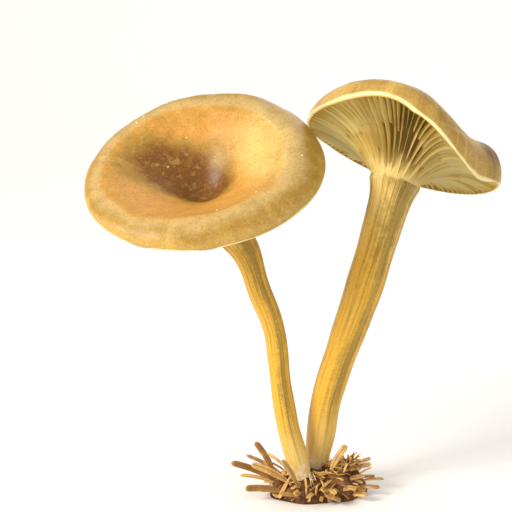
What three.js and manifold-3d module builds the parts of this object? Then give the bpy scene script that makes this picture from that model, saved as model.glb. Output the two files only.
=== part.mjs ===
// A clump of two funnel mushrooms rising from one tuft of dead fir needles.
// Millimetres, +Z up. The origin is on the face the tuft rests on, under the place where the stems meet.
// +X runs from the wide bowl-shaped cap towards the smaller funnel cap, +Y from the front to the back.
import * as THREE from 'three';
import { mergeVertices } from 'three/addons/utils/BufferGeometryUtils.js';
import Module from 'manifold-3d';

const wasm = await Module();
wasm.setup();

// Driving dimensions
const BOWL_CAP_RADIUS = 29.3;
const FUNNEL_CAP_RADIUS = 25.2;
const TUFT_HALF_LENGTH = 12.2;
const TUFT_HALF_WIDTH = 9.6;
const TUFT_HEIGHT = 5.6;
const CLEARANCE = 0.35; // between two pieces that touch
const GILL_RIDGES = 30; // each stands for a group of real gills
const COLUMNS = 2 * GILL_RIDGES;
const NEEDLE_SIDES = 6;
const TUFT_COLUMNS = 40;

// Each mushroom: a cap around an axis that starts at the middle of the plane of its crest (the highest
// ring of the cap) and runs down through the stem to its foot. Depths are measured along that axis.
// A soft hump of height 1 at angle 0, for an angle of any number of turns.
const bellCurve = (angle, width) => {
  const turned = Math.atan2(Math.sin(angle), Math.cos(angle));
  return Math.exp(-((turned / width) ** 2));
};
// The margin of the funnel cap folds down in one place on its near right side.
const foldAt = (angle) => bellCurve(angle + 0.543, 0.394);

const bowlMushroom = {
  name: 'mushroom_bowl',
  color: 0xd9b364,
  radius: BOWL_CAP_RADIUS,
  crestShare: 0.78, // crest radius over cap radius
  crestShift: 0.075, // how much further out the crest lies on the -X side
  marginDrop: () => 4.2,
  bowlDepth: 7.0,
  pitDepth: 4.2,
  pitRadius: 9.0,
  lip: 1.0, // thickness of the turned-down margin
  gillWidth: 2.9,
  gillEnd: { radius: 4.9, depth: 20.5 },
  gillBend: { radius: 11.5, depth: 9.5 },
  sag: (a) => 0.7 * Math.cos(2 * a + 0.6) + 0.35 * Math.cos(3 * a - 1.0),
  swell: (a) => 0.012 * Math.cos(2 * a - 0.4) + 0.008 * Math.cos(3 * a + 0.9),
  axis: [
    [-28.0, -9.0, 87.8], [-26.4, -4.25, 79.1], [-22.6, -1.0, 71.0], [-17.3, 0.8, 63.0],
    [-14.0, 1.0, 53.1], [-10.3, 0.4, 43.2], [-8.35, -1.2, 28.0], [-6.6, -2.3, 18.0],
    [-4.5, -3.0, 10.5], [-1.8, -3.5, 1.2],
  ],
  stemRadius: [4.4, 3.3, 3.0, 2.9, 2.85, 2.9, 3.1, 2.2],
};
const funnelMushroom = {
  name: 'mushroom_funnel',
  color: 0xddb46e,
  radius: FUNNEL_CAP_RADIUS,
  crestShare: 0.79,
  crestShift: 0,
  marginDrop: (a) => 5.8 + 4.0 * Math.max(0, Math.cos(a - 0.9)),
  bowlDepth: 6.6,
  pitDepth: 4.6,
  pitRadius: 6.5,
  lip: 1.1,
  gillWidth: 3.4,
  gillEnd: { radius: 6.4, depth: 16.5 },
  gillBend: { radius: 13.0, depth: 8.5 },
  sag: (a) => 1.8 * Math.cos(2 * a) + 0.4 * Math.cos(3 * a + 0.8) + 6.5 * Math.max(0, Math.cos(a + 1.105)) ** 8 +
    5 * foldAt(a),
  swell: (a) => 0.02 * Math.cos(2 * a + 0.3) + 0.012 * Math.cos(3 * a) - 0.087 * foldAt(a) -
    0.019 * bellCurve(a - 0.45, 0.4),
  axis: [
    [24.45, 11.0, 94.6], [22.6, 7.6, 88.8], [19.8, 3.2, 79.6], [15.2, 1.4, 63.4], [12.2, 1.6, 52.8],
    [3.4, 2.8, 24.5], [1.9, 3.3, 14.2], [0.9, 3.7, 7.3], [0.5, 3.8, 1.2],
  ],
  stemRadius: [5.4, 5.1, 5.0, 4.6, 4.3, 4.0, 3.8, 2.8],
};

// Dead fir needles: [root, tip, width at the broad end]
const needles = [
  [[-7.0, -2.0, 1.9], [-21.2, -4.0, 9.3], 1.9],
  [[-4.2, -4.6, 2.3], [-16.0, -6.0, 9.5], 2.1],
  [[-6.0, -5.6, 1.4], [-17.6, -8.0, 3.7], 2.0],
  [[-3.6, -6.9, 2.2], [-8.4, -8.0, 11.3], 1.9],
  [[-9.3, 0.2, 3.0], [-15.0, 1.5, 13.1], 1.8],
  [[-3.0, -8.6, 1.3], [-8.4, -10.6, 3.0], 1.1],
  [[-1.9, -8.3, 1.8], [-2.4, -9.4, 6.9], 1.4],
  [[0.4, -8.6, 1.5], [0.6, -9.9, 5.2], 1.3],
  [[3.6, -2.6, 4.6], [8.3, -1.6, 13.2], 1.9],
  [[1.8, -8.0, 2.0], [6.6, -10.8, 1.4], 1.3],
  [[5.0, -6.0, 2.0], [12.0, -8.0, 3.9], 1.2],
  [[7.6, -1.2, 5.4], [14.6, -2.5, 8.4], 1.4],
  [[6.6, -3.6, 3.6], [12.9, -5.2, 6.1], 1.4],
  [[-6.6, 3.4, 2.6], [-17.4, 5.6, 8.2], 1.9],
  [[-4.4, 5.6, 2.2], [-11.6, 12.4, 6.4], 1.8],
  [[-2.2, 7.9, 2.0], [-4.6, 15.6, 5.0], 1.7],
  [[3.6, 8.0, 2.4], [8.2, 13.6, 5.2], 1.8],
  [[7.2, 3.6, 4.0], [15.2, 7.8, 6.6], 1.8],
  [[9.0, 1.6, 2.6], [16.0, 2.4, 3.6], 1.5],
  [[-9.0, 2.2, 1.5], [-19.0, 1.0, 4.3], 1.7],
  [[1.6, 8.4, 3.0], [3.0, 15.0, 8.2], 1.7],
];

// A closed surface from rings of points between two end points; every ring has the same count.
function closedSurface(start, rings, end) {
  const points = [start, ...rings.flat(), end];
  const columns = rings[0].length;
  const faces = [];
  const at = (ring, column) => 1 + ring * columns + (column % columns);
  for (let c = 0; c < columns; c += 1) {
    faces.push(0, at(0, c), at(0, c + 1));
    for (let r = 0; r + 1 < rings.length; r += 1) {
      faces.push(at(r, c), at(r + 1, c), at(r + 1, c + 1));
      faces.push(at(r, c), at(r + 1, c + 1), at(r, c + 1));
    }
    faces.push(at(rings.length - 1, c), points.length - 1, at(rings.length - 1, c + 1));
  }
  const geometry = new THREE.BufferGeometry();
  geometry.setAttribute('position', new THREE.Float32BufferAttribute(points.flatMap((p) => p.toArray()), 3));
  geometry.setIndex(faces);
  return geometry;
}

// The axis as a smooth curve with a frame that turns with it: spot(depth) gives its point and two
// directions across it.
function axisFrames(points) {
  const curve = new THREE.CatmullRomCurve3(points.map((p) => new THREE.Vector3(...p)), false, 'centripetal');
  const length = curve.getLength();
  const steps = 200;
  const frames = [];
  let across = new THREE.Vector3(1, 0, 0);
  for (let i = 0; i <= steps; i += 1) {
    const along = curve.getTangentAt(i / steps);
    across = across.clone().addScaledVector(along, -across.dot(along)).normalize();
    const other = new THREE.Vector3().crossVectors(across, along);
    frames.push({ point: curve.getPointAt(i / steps), across, other });
  }
  const spot = (depth) => {
    const place = THREE.MathUtils.clamp(depth / length, 0, 1) * steps;
    const low = Math.min(Math.floor(place), steps - 1);
    const mix = (key) => frames[low][key].clone().lerp(frames[low + 1][key], place - low);
    return { point: mix('point'), across: mix('across').normalize(), other: mix('other').normalize() };
  };
  return { spot, length };
}

// A point at a radius and an angle around the axis, at a depth along it.
function around(frame, radius, angle, depth) {
  const { point, across, other } = frame.spot(depth);
  return point.addScaledVector(across, radius * Math.cos(angle)).addScaledVector(other, radius * Math.sin(angle));
}

// Depth of the upper face at a share of the crest radius: a shallow bowl with a narrow pit in its middle.
function bowlDepthAt(m, radius, crest) {
  const bowl = m.bowlDepth * (1 - (radius / crest) ** 2) ** 1.35;
  const pit = m.pitDepth * Math.exp(-((radius / m.pitRadius) ** 2) * 1.6);
  return bowl + pit;
}

function quadratic(a, b, c, t) {
  return (1 - t) ** 2 * a + 2 * t * (1 - t) * b + t ** 2 * c;
}

// Rings of [radius, depth] pairs by column, from the middle of the bowl out to the margin, in under the
// gills and down to the foot of the stem.
function mushroomRings(m, frame) {
  const rings = [];
  const ring = (place) => {
    const row = [];
    for (let c = 0; c < COLUMNS; c += 1) {
      const angle = (c / COLUMNS) * 2 * Math.PI;
      const outer = m.radius * (1 + m.swell(angle));
      const crest = outer * (m.crestShare - m.crestShift * Math.cos(angle));
      const [radius, depth] = place({ angle, outer, crest, drop: m.marginDrop(angle), isRidge: c % 2 });
      row.push(around(frame, radius, angle, depth + m.sag(angle) * (radius / outer) ** 2));
    }
    rings.push(row);
  };
  for (const share of [0.12, 0.24, 0.38, 0.54, 0.7, 0.86, 1]) {
    ring(({ crest }) => [share * crest, bowlDepthAt(m, share * crest, crest)]);
  }
  for (const turn of [0.36, 0.68, 0.9]) { // the flank rolls down from the crest to the margin
    ring(({ outer, crest, drop }) => [
      crest + (outer - crest) * Math.sin(turn * Math.PI / 2),
      drop * (1 - Math.cos(turn * Math.PI / 2)),
    ]);
  }
  ring(({ outer, drop }) => [outer, drop]);
  ring(({ outer, drop }) => [outer - m.lip * 0.7, drop + m.lip * 0.6]);
  const underSteps = 8;
  for (let i = 1; i <= underSteps; i += 1) {
    const t = i / underSteps;
    ring(({ outer, drop, isRidge }) => {
      const radiusAt = (x) => quadratic(outer - m.lip * 1.2, m.gillBend.radius, m.gillEnd.radius, x);
      const depthAt = (x) => quadratic(drop + m.lip * 0.6, m.gillBend.depth, m.gillEnd.depth, x);
      const run = radiusAt(t) - radiusAt(t - 0.02);
      const fall = depthAt(t) - depthAt(t - 0.02);
      const width = isRidge ? 0 : m.gillWidth * Math.sin(Math.PI * t ** 0.75) ** 0.8 / Math.hypot(run, fall);
      return [radiusAt(t) - width * fall, depthAt(t) + width * run];
    });
  }
  const stemStart = m.gillEnd.depth + 4;
  const stemEnd = frame.length;
  m.stemRadius.forEach((radius, i) => {
    const depth = stemStart + (stemEnd - stemStart) * i / (m.stemRadius.length - 1);
    ring(() => [radius, depth]);
  });
  return rings;
}

function mushroomGeometry(m) {
  const frame = axisFrames(m.axis);
  const rings = mushroomRings(m, frame);
  const pitFloor = frame.spot(bowlDepthAt(m, 0, m.radius)).point;
  const foot = frame.spot(frame.length).point.add(new THREE.Vector3(0, 0, -0.5));
  return closedSurface(pitFloor, rings, foot);
}

// The lower stem swollen by the clearance, for cutting its place out of the tuft.
function stemCutter(m) {
  const frame = axisFrames(m.axis);
  const topDepth = frame.length - 26;
  const rings = [];
  for (const share of [0, 0.2, 0.4, 0.6, 0.8, 0.92, 1]) {
    const depth = topDepth + share * (frame.length - topDepth);
    const row = [];
    for (let c = 0; c < COLUMNS / 2; c += 1) {
      const radius = Math.max(...m.stemRadius.slice(-4)) + CLEARANCE;
      row.push(around(frame, radius, (c / COLUMNS) * 4 * Math.PI, depth));
    }
    rings.push(row);
  }
  const foot = frame.spot(frame.length).point.add(new THREE.Vector3(0, 0, -0.5 - CLEARANCE));
  return closedSurface(frame.spot(topDepth).point, rings, foot);
}

// One flat fir needle: narrow at its root, broadest near its blunt tip.
function needleGeometry(root, tip, width, grow = 0) {
  const from = new THREE.Vector3(...root);
  const along = new THREE.Vector3(...tip).sub(from);
  const length = along.length();
  const direction = along.clone().normalize();
  const across = new THREE.Vector3(0, 0, 1).cross(direction).normalize();
  const up = new THREE.Vector3().crossVectors(direction, across);
  const rings = [[0.03, 0.34], [0.3, 0.72], [0.6, 0.95], [0.85, 1], [0.965, 0.66]].map(([share, fullness]) => {
    const middle = from.clone().addScaledVector(direction, share * length);
    middle.addScaledVector(up, 0.05 * length * Math.sin(Math.PI * share));
    const row = [];
    for (let side = 0; side < NEEDLE_SIDES; side += 1) {
      const angle = -(side / NEEDLE_SIDES) * 2 * Math.PI;
      const wide = (width / 2 * fullness + grow) * Math.cos(angle);
      const thick = (width / 4.4 * fullness + grow) * Math.sin(angle);
      row.push(middle.clone().addScaledVector(across, wide).addScaledVector(up, thick));
    }
    return row;
  });
  const start = from.clone().addScaledVector(direction, -grow);
  return closedSurface(start, rings, from.clone().addScaledVector(direction, length + grow));
}

// The tuft: a low mound of humus on a flat face, higher on the +X side.
function tuftBlank() {
  const rings = [[0.999, 0], [1, 0.14], [0.97, 0.36], [0.88, 0.6], [0.72, 0.8], [0.5, 0.93], [0.25, 1]];
  const rows = rings.map(([spread, rise]) => {
    const row = [];
    for (let c = 0; c < TUFT_COLUMNS; c += 1) {
      const angle = (c / TUFT_COLUMNS) * 2 * Math.PI;
      const ragged = 1 + 0.05 * Math.cos(3 * angle + 0.5) + 0.04 * Math.cos(7 * angle);
      const x = TUFT_HALF_LENGTH * spread * ragged * Math.cos(angle) + 0.6;
      const y = TUFT_HALF_WIDTH * spread * ragged * Math.sin(angle);
      const shoulder = 3.4 * Math.exp(-((x - 8) ** 2 + (y - 0.5) ** 2) / 22);
      row.push(new THREE.Vector3(x, y, rise * (TUFT_HEIGHT + shoulder)));
    }
    return row;
  });
  return closedSurface(new THREE.Vector3(0.6, 0, TUFT_HEIGHT), rows.reverse(), new THREE.Vector3(0.6, 0, 0));
}

function toSolid(geometry) {
  const bare = geometry.clone();
  bare.deleteAttribute('normal');
  bare.deleteAttribute('uv');
  const merged = mergeVertices(bare, 1e-4);
  return new wasm.Manifold(new wasm.Mesh({
    numProp: 3,
    vertProperties: Float32Array.from(merged.attributes.position.array),
    triVerts: Uint32Array.from(merged.index.array),
  }));
}

function toGeometry(solid) {
  const mesh = solid.getMesh();
  const geometry = new THREE.BufferGeometry();
  geometry.setAttribute('position', new THREE.BufferAttribute(Float32Array.from(mesh.vertProperties), 3));
  geometry.setIndex(new THREE.BufferAttribute(Uint32Array.from(mesh.triVerts), 1));
  return geometry;
}

function tuftGeometry() {
  let tuft = toSolid(tuftBlank());
  for (const m of [bowlMushroom, funnelMushroom]) tuft = tuft.subtract(toSolid(stemCutter(m)));
  for (const [root, tip, width] of needles) {
    tuft = tuft.subtract(toSolid(needleGeometry(root, tip, width, CLEARANCE)));
  }
  const largest = tuft.decompose().sort((a, b) => b.volume() - a.volume())[0];
  return toGeometry(largest);
}

const clump = new THREE.Group();

function addPiece(name, geometry, color, roughness) {
  const piece = new THREE.Mesh(geometry, new THREE.MeshStandardMaterial({ color, roughness, metalness: 0 }));
  piece.name = name;
  clump.add(piece);
}

for (const m of [bowlMushroom, funnelMushroom]) addPiece(m.name, mushroomGeometry(m), m.color, 0.7);
addPiece('litter_tuft', tuftGeometry(), 0x8a5a24, 0.95);
needles.forEach(([root, tip, width], i) => {
  addPiece(`fir_needle_${String(i + 1).padStart(2, '0')}`, needleGeometry(root, tip, width), 0xb08440, 0.8);
});

export default clump;
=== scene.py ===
"""A clump of two funnel mushrooms on its tuft of fir litter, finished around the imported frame."""
import math

import bmesh
import bpy
import numpy as np
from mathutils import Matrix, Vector


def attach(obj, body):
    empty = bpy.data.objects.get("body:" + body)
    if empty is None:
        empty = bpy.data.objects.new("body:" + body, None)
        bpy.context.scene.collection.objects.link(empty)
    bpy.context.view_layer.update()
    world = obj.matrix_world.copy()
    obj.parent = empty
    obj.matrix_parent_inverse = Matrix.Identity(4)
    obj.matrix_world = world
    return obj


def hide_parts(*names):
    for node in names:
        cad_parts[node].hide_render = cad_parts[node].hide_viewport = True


bl_info = {
    "name": "Funnel Mushroom Clump",
    "version": (1, 0, 0),
    "blender": (4, 5, 0),
    "location": "View3D > Sidebar > Clump",
    "description": "Two funnel mushrooms rising from one tuft of dead fir needles",
    "category": "Object",
}

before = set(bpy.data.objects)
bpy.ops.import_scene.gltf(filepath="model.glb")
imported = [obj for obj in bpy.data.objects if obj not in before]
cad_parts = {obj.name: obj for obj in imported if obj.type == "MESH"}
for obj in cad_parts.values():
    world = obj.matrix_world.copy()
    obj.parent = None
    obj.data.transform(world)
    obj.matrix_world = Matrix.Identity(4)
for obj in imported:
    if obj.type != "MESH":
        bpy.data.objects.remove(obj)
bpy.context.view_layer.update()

MM = 0.001
TURN = 2 * math.pi
BODY = "root"
# The floor runs out on the camera's side, then behind the clump it sweeps up into a wall.
FLOOR_REACH = 6000 * MM
FLOOR_HALF_WIDTH = 5000 * MM
SWEEP_START = 550 * MM
SWEEP_RADIUS = 250 * MM
WALL_HEIGHT = 1400 * MM
COLUMNS_PER_GILL = 4
# Where a gill's four columns of points stand in its share of the circle, and how far each reaches
# from the flesh (0) to the gill's edge (1): a broad valley and a thin blade.
GILL_COLUMN_PLACES = np.array([0.0, 0.36, 0.5, 0.64])
GILL_COLUMN_REACH = np.array([0.0, 0.16, 1.0, 0.16])

# The two mushrooms, in millimetres. The axis starts at the middle of the plane of the cap's crest, its
# highest ring, and runs down through the stem to the foot. Depths are measured along it.
def bell_curve(angle, width):
    """A soft hump of height 1 at angle 0."""
    turned = np.arctan2(np.sin(angle), np.cos(angle))
    return np.exp(-((turned / width) ** 2))


def fold(angle):
    """The margin of the funnel cap folds down in one place on its near right side."""
    return bell_curve(angle + 0.543, 0.394)


BOWL = {
    "node": "mushroom_bowl",
    "slot": "bowl_cap_flesh",
    "crest_share": 0.78,
    "crest_shift": 0.075,
    "margin_drop": lambda a: 4.2 + 0 * a,
    "pit": (4.2, 9.0),
    "lip": 1.0,
    "gill_width": 2.9,
    "gill_end": (4.9, 20.5),
    "gill_bend": (11.5, 9.5),
    "sag": lambda a: 0.7 * np.cos(2 * a + 0.6) + 0.35 * np.cos(3 * a - 1.0),
    "swell": lambda a: 0.012 * np.cos(2 * a - 0.4) + 0.008 * np.cos(3 * a + 0.9),
    "axis": [
        (-28.0, -9.0, 87.8), (-26.4, -4.25, 79.1), (-22.6, -1.0, 71.0), (-17.3, 0.8, 63.0),
        (-14.0, 1.0, 53.1), (-10.3, 0.4, 43.2), (-8.35, -1.2, 28.0), (-6.6, -2.3, 18.0),
        (-4.5, -3.0, 10.5), (-1.8, -3.5, 1.2),
    ],
    "stem_radius": [4.4, 3.3, 3.0, 2.9, 2.85, 2.9, 3.1, 2.2],
    # Middle and half size, in shares of the cap's radius, of the brown and the pale places. On the bowl, the
    # brown place left of the middle is painted shade on the hollow's left inner wall, and the small one in
    # the middle is its wet brown hollow. The pale place on the right is a painted highlight on the lit right
    # inner wall.
    "soaked_and_painted_shade": [(-0.30, 0.18, 0.44, 0.34), (-0.02, -0.02, 0.22, 0.20)],
    "pale_and_painted_highlight": [(0.55, 0.22, 0.30, 0.52)],
    "striae": 0.012,
    "seed": 11,
}
FUNNEL = {
    "node": "mushroom_funnel",
    "slot": "funnel_cap_flesh",
    "crest_share": 0.79,
    "crest_shift": 0.0,
    "margin_drop": lambda a: 5.8 + 4.0 * np.maximum(0, np.cos(a - 0.9)),
    "pit": (4.6, 6.5),
    "lip": 1.1,
    "gill_width": 3.4,
    "gill_end": (6.4, 16.5),
    "gill_bend": (13.0, 8.5),
    "sag": lambda a: (1.8 * np.cos(2 * a) + 0.4 * np.cos(3 * a + 0.8)
                      + 6.5 * np.maximum(0, np.cos(a + 1.105)) ** 8 + 5 * fold(a)),
    "swell": lambda a: (0.02 * np.cos(2 * a + 0.3) + 0.012 * np.cos(3 * a) - 0.087 * fold(a)
                        - 0.019 * bell_curve(a - 0.45, 0.4)),
    "axis": [
        (24.45, 11.0, 94.6), (22.6, 7.6, 88.8), (19.8, 3.2, 79.6), (15.2, 1.4, 63.4),
        (12.2, 1.6, 52.8), (3.4, 2.8, 24.5), (1.9, 3.3, 14.2), (0.9, 3.7, 7.3), (0.5, 3.8, 1.2),
    ],
    "stem_radius": [5.4, 5.1, 5.0, 4.6, 4.3, 4.0, 3.8, 2.8],
    "soaked_and_painted_shade": [(0.0, 0.0, 0.42, 0.42), (0.84, -0.16, 0.13, 0.26)],
    "pale_and_painted_highlight": [(-0.5, -0.5, 0.4, 0.4)],
    "striae": 0.06,
    "seed": 29,
}

# How many loose things lie on the clump, and where on the mound the two stems stand (x, y, height).
BROKEN_NEEDLES = 210
RIM_NEEDLES = 34
SPRIG_NEEDLES = 90
THREADS_PER_FOOT = 16
GRAINS = 9
STEM_FEET = [(-2.6, -3.1, 7.2), (0.8, 3.7, 8.6)]
# The mound under the loose needles in millimetres: its middle, half length, half width and height.
MOUND_MIDDLE, MOUND_LENGTH, MOUND_WIDTH, MOUND_HEIGHT = 0.6, 12.0, 9.4, 5.6

# Dead fir needles in millimetres: root, tip and width at the broad end, in the order of their nodes.
NEEDLES = [
    ((-7.0, -2.0, 1.9), (-21.2, -4.0, 9.3), 1.9),
    ((-4.2, -4.6, 2.3), (-16.0, -6.0, 9.5), 2.1),
    ((-6.0, -5.6, 1.4), (-17.6, -8.0, 3.7), 2.0),
    ((-3.6, -6.9, 2.2), (-8.4, -8.0, 11.3), 1.9),
    ((-9.3, 0.2, 3.0), (-15.0, 1.5, 13.1), 1.8),
    ((-3.0, -8.6, 1.3), (-8.4, -10.6, 3.0), 1.1),
    ((-1.9, -8.3, 1.8), (-2.4, -9.4, 6.9), 1.4),
    ((0.4, -8.6, 1.5), (0.6, -9.9, 5.2), 1.3),
    ((3.6, -2.6, 4.6), (8.3, -1.6, 13.2), 1.9),
    ((1.8, -8.0, 2.0), (6.6, -10.8, 1.4), 1.3),
    ((5.0, -6.0, 2.0), (12.0, -8.0, 3.9), 1.2),
    ((7.6, -1.2, 5.4), (14.6, -2.5, 8.4), 1.4),
    ((6.6, -3.6, 3.6), (12.9, -5.2, 6.1), 1.4),
    ((-6.6, 3.4, 2.6), (-17.4, 5.6, 8.2), 1.9),
    ((-4.4, 5.6, 2.2), (-11.6, 12.4, 6.4), 1.8),
    ((-2.2, 7.9, 2.0), (-4.6, 15.6, 5.0), 1.7),
    ((3.6, 8.0, 2.4), (8.2, 13.6, 5.2), 1.8),
    ((7.2, 3.6, 4.0), (15.2, 7.8, 6.6), 1.8),
    ((9.0, 1.6, 2.6), (16.0, 2.4, 3.6), 1.5),
    ((-9.0, 2.2, 1.5), (-19.0, 1.0, 4.3), 1.7),
    ((1.6, 8.4, 3.0), (3.0, 15.0, 8.2), 1.7),
]


def linear(hex_colour):
    """An sRGB hex colour as linear red, green and blue."""
    channels = [int(hex_colour[i:i + 2], 16) / 255 for i in (1, 3, 5)]
    return tuple(c / 12.92 if c <= 0.04045 else ((c + 0.055) / 1.055) ** 2.4 for c in channels)


def colour_prop(name, description, hex_colour):
    return bpy.props.FloatVectorProperty(
        name=name, description=description, subtype="COLOR", size=3, min=0, max=1,
        default=linear(hex_colour))


def length_prop(name, description, millimetres):
    return bpy.props.FloatProperty(
        name=name, description=description, unit="LENGTH", default=millimetres * MM, min=0, precision=5)


class ClumpSizes(bpy.types.PropertyGroup):
    bowl_cap_radius: length_prop("Bowl cap radius", "Middle to margin of the wide cap", 29.3)
    bowl_depth: length_prop("Bowl depth", "Depth of the wide cap's bowl, without its pit", 7.0)
    funnel_cap_radius: length_prop("Funnel cap radius", "Middle to margin of the smaller cap", 25.2)
    funnel_depth: length_prop("Funnel depth", "Depth of the smaller cap's bowl, without its pit", 6.6)
    gill_count: bpy.props.IntProperty(
        name="Gills", description="Gills of each cap, short ones included", default=96, min=24)
    tuft_half_length: length_prop("Tuft half length", "Half of the tuft along X", 12.2)
    tuft_half_width: length_prop("Tuft half width", "Half of the tuft along Y", 9.6)
    tuft_height: length_prop("Tuft height", "Height of the mound between the stems", 5.6)


class ClumpColours(bpy.types.PropertyGroup):
    cap_gold: colour_prop("Cap", "Moist golden skin of the cap", "#d99a40")
    # Also painted as a highlight on the lit side of the caps.
    cap_pale: colour_prop("Dry cap", "Skin where it has dried paler", "#eac26c")
    # Also painted as shade on the bowl's left inner wall.
    cap_brown: colour_prop("Hollow", "Water-soaked brown of the deep middle", "#74400f")
    # Also painted as shade: half-shade on the flank, a ring just in from the crest, and the bowl's left
    # inner wall.
    cap_olive: colour_prop("Flank", "Olive tan of the rolled flank", "#a88433")
    # Also painted as a highlight line along the bowl's crest.
    margin: colour_prop("Margin", "Thin pale edge of the cap", "#f3dea0")
    gill: colour_prop("Gill", "Olive-yellow face of a gill", "#c8a240")
    gill_edge: colour_prop("Gill edge", "Pale edge of a gill", "#ecd384")
    gill_valley: colour_prop("Gill valley", "Shaded flesh between gills", "#6f5016")
    # Painted as shade in the valleys between the gills.
    gill_valley_painted_shade: colour_prop("Gill shade", "Olive line between two gills", "#8c742c")
    stem_gold: colour_prop("Stem", "Golden cortex of the stem", "#e3ad2e")
    stem_pale: colour_prop("Stem top", "Cream flesh below the gills", "#eacd7e")
    # Also painted as shade on the stem's right side.
    stem_olive: colour_prop("Stem streaks", "Olive streaks between the fibres", "#9c7d28")
    felt: colour_prop("Felt", "White mycelium at the foot", "#f1e5c6")
    needle_tan: colour_prop("Needle", "Bleached dead fir needle", "#e6b96c")
    needle_brown: colour_prop("Old needle", "Rotting fir needle", "#8a5b24")
    humus: colour_prop("Humus", "Damp leaf mould", "#472810")
    humus_light: colour_prop("Dry humus", "Drier crumbs of leaf mould", "#83552a")
    stage: colour_prop("Floor", "Plain pale floor and backdrop", "#fdfcfa")


class ClumpView(bpy.types.PropertyGroup):
    elevation: bpy.props.FloatProperty(
        name="Elevation", description="Camera angle above the floor", subtype="ANGLE",
        default=math.radians(12))
    distance: length_prop("Distance", "Camera to the middle of the clump", 480.0)
    lens: bpy.props.FloatProperty(name="Lens", description="Focal length in mm", default=135.0)
    aim_side: length_prop("Aim side", "How far the camera aims past the origin, towards -X", 14.75)
    aim_height: length_prop("Aim height", "Height that the camera aims at", 61.95)
    key_power: bpy.props.FloatProperty(
        name="Key light", description="Strength of the large window light", default=5.0)


# ---- meshes -----------------------------------------------------------------------------------------


def new_object(name, points, faces):
    """A mesh object from points in millimetres."""
    mesh = bpy.data.meshes.new(name)
    mesh.from_pydata((np.asarray(points) * MM).tolist(), [], faces)
    mesh.polygons.foreach_set("use_smooth", [True] * len(mesh.polygons))
    mesh.update()
    piece = bpy.data.objects.new(name, mesh)
    bpy.context.scene.collection.objects.link(piece)
    return piece


def add_values(piece, name, values):
    """Stores one number or one vector for each point of a mesh, for its material to read."""
    values = np.asarray(values, dtype=np.float32)
    kind, field = ("FLOAT_VECTOR", "vector") if values.ndim == 2 else ("FLOAT", "value")
    layer = piece.data.attributes.new(name, kind, "POINT")
    layer.data.foreach_set(field, values.ravel())


def ring_faces(rings, columns, first=0):
    """Faces of a closed surface: a start point, rings of points, then an end point."""
    faces = []
    start, end = first, first + 1 + rings * columns
    for c in range(columns):
        d = (c + 1) % columns
        faces.append((start, first + 1 + c, first + 1 + d))
        for r in range(rings - 1):
            low, high = first + 1 + r * columns, first + 1 + (r + 1) * columns
            faces.append((low + c, high + c, high + d, low + d))
        last = first + 1 + (rings - 1) * columns
        faces.append((last + c, end, last + d))
    return faces


def smooth_step(low, high, x):
    t = np.clip((x - low) / (high - low), 0, 1)
    return t * t * (3 - 2 * t)


def ripples(rng, coordinates, scales, height):
    """Soft seeded unevenness: a sum of waves in every direction of the coordinates."""
    total = np.zeros(coordinates.shape[:-1])
    for scale in scales:
        for _ in range(5):
            direction = rng.normal(size=coordinates.shape[-1])
            direction /= np.linalg.norm(direction)
            total += np.sin(coordinates @ direction / scale * TURN + rng.uniform(0, TURN)) * scale
    return total * height / (5 * sum(scales)) * 2


class Axis:
    """The line through a cap and its stem, with two directions across it at every depth."""

    def __init__(self, points, samples=1600):
        points = np.array(points, dtype=float)
        points = np.vstack([2 * points[0] - points[1], points, 2 * points[-1] - points[-2]])
        line = []
        for p0, p1, p2, p3 in zip(points, points[1:], points[2:], points[3:]):
            gaps = [math.sqrt(np.linalg.norm(b - a)) for a, b in ((p0, p1), (p1, p2), (p2, p3))]
            out_1 = ((p1 - p0) / gaps[0] - (p2 - p0) / (gaps[0] + gaps[1]) + (p2 - p1) / gaps[1]) * gaps[1]
            out_2 = ((p2 - p1) / gaps[1] - (p3 - p1) / (gaps[1] + gaps[2]) + (p3 - p2) / gaps[2]) * gaps[1]
            t = np.linspace(0, 1, samples // (len(points) - 3), endpoint=False)[:, None]
            line.append(p1 * (2 * t ** 3 - 3 * t ** 2 + 1) + out_1 * (t ** 3 - 2 * t ** 2 + t)
                        + p2 * (3 * t ** 2 - 2 * t ** 3) + out_2 * (t ** 3 - t ** 2))
        line = np.vstack(line + [points[-2][None]])
        steps = np.diff(line, axis=0)
        self.depths = np.concatenate([[0], np.cumsum(np.linalg.norm(steps, axis=1))])
        self.length = self.depths[-1]
        self.line = line
        along = np.vstack([steps, steps[-1]])
        along /= np.linalg.norm(along, axis=1)[:, None]
        across = np.zeros_like(along)
        turned = np.array([1.0, 0.0, 0.0])
        for i, direction in enumerate(along):
            turned = turned - direction * (turned @ direction)
            turned /= np.linalg.norm(turned)
            across[i] = turned
        self.across = across
        self.other = np.cross(across, along)

    def at(self, values, depth):
        return np.stack([np.interp(depth, self.depths, values[:, k]) for k in range(3)], axis=-1)

    def around(self, radius, angle, depth):
        """Points at a radius and an angle around the axis, at a depth along it."""
        return (self.at(self.line, depth)
                + self.at(self.across, depth) * (radius * np.cos(angle))[..., None]
                + self.at(self.other, depth) * (radius * np.sin(angle))[..., None])


def quadratic(a, b, c, t):
    return (1 - t) ** 2 * a + 2 * t * (1 - t) * b + t ** 2 * c


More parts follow.
